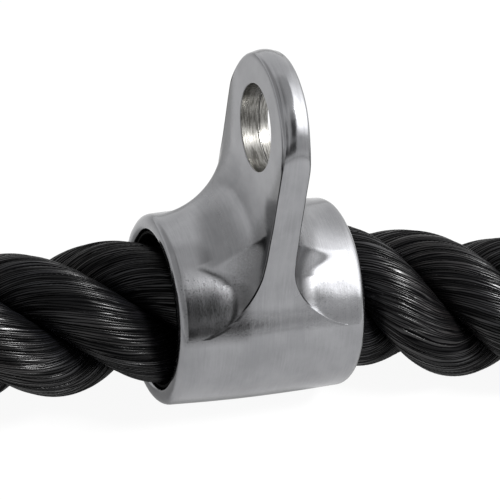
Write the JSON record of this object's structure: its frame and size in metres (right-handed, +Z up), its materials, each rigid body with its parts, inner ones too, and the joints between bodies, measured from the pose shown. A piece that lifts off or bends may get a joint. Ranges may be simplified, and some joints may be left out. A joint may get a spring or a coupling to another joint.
{
  "type": "triceps rope attachment",
  "caption": "Thick black rope held at its middle by a bright cast barrel with an upright eye for a cable machine's carabiner, with a rubber stopper on each end.",
  "frame": {"origin": "on the floor under the middle of the barrel", "axes": "+X along the barrel's bore, +Z up towards the eye"},
  "size_m": [0.698, 0.113, 0.0928],
  "materials": {
    "nickel_plate": "bright nickel plate over a cast surface, faintly pitted in the hollows",
    "black_rope": "black synthetic fibre, three twisted strands, slight sheen",
    "black_nylon": "smooth black nylon",
    "shrink_band": "heat-shrunk black band, satin",
    "black_rubber": "moulded black rubber, fine matt grain",
    "zinc_steel": "zinc-plated steel",
    "plug_plastic": "moulded black plastic"
  },
  "bodies": {
    "casting": {"eye_casting": "nickel_plate"},
    "sleeve": {"bore_sleeve": "black_nylon"},
    "rope_middle": {"rope_core": "black_rope"},
    "limb_left": {"rope_bend_left": "black_rope", "rope_limb_left": "black_rope", "rope_tail_left": "black_rope", "end_band_left": "shrink_band", "end_stopper_left": "black_rubber", "end_washer_left": "zinc_steel", "end_screw_left": "zinc_steel", "end_plug_left": "plug_plastic"},
    "limb_right": {"rope_bend_right": "black_rope", "rope_limb_right": "black_rope", "rope_tail_right": "black_rope", "end_band_right": "shrink_band", "end_stopper_right": "black_rubber", "end_washer_right": "zinc_steel", "end_screw_right": "zinc_steel", "end_plug_right": "plug_plastic"}
  },
  "joints": [
    {"name": "rope_turn", "type": "hinge", "parent": "casting", "child": "sleeve", "pos_m": [0, 0, 0.0238], "axis": [1, 0, 0], "continuous": true},
    {"name": "rope_slide", "type": "slide", "parent": "sleeve", "child": "rope_middle", "axis": [1, 0, 0], "range_m": [-0.012, 0.012]},
    {"name": "swing_left", "type": "hinge", "parent": "rope_middle", "child": "limb_left", "pos_m": [-0.05, 0.0001, 0.023], "axis": [0, -1, 0], "range_deg": [-20, 80], "deforming": ["rope_bend_left"]},
    {"name": "swing_right", "type": "hinge", "parent": "rope_middle", "child": "limb_right", "pos_m": [0.05, -0.0044, 0.0194], "axis": [0, 1, 0], "range_deg": [-20, 80], "deforming": ["rope_bend_right"]}
  ]
}
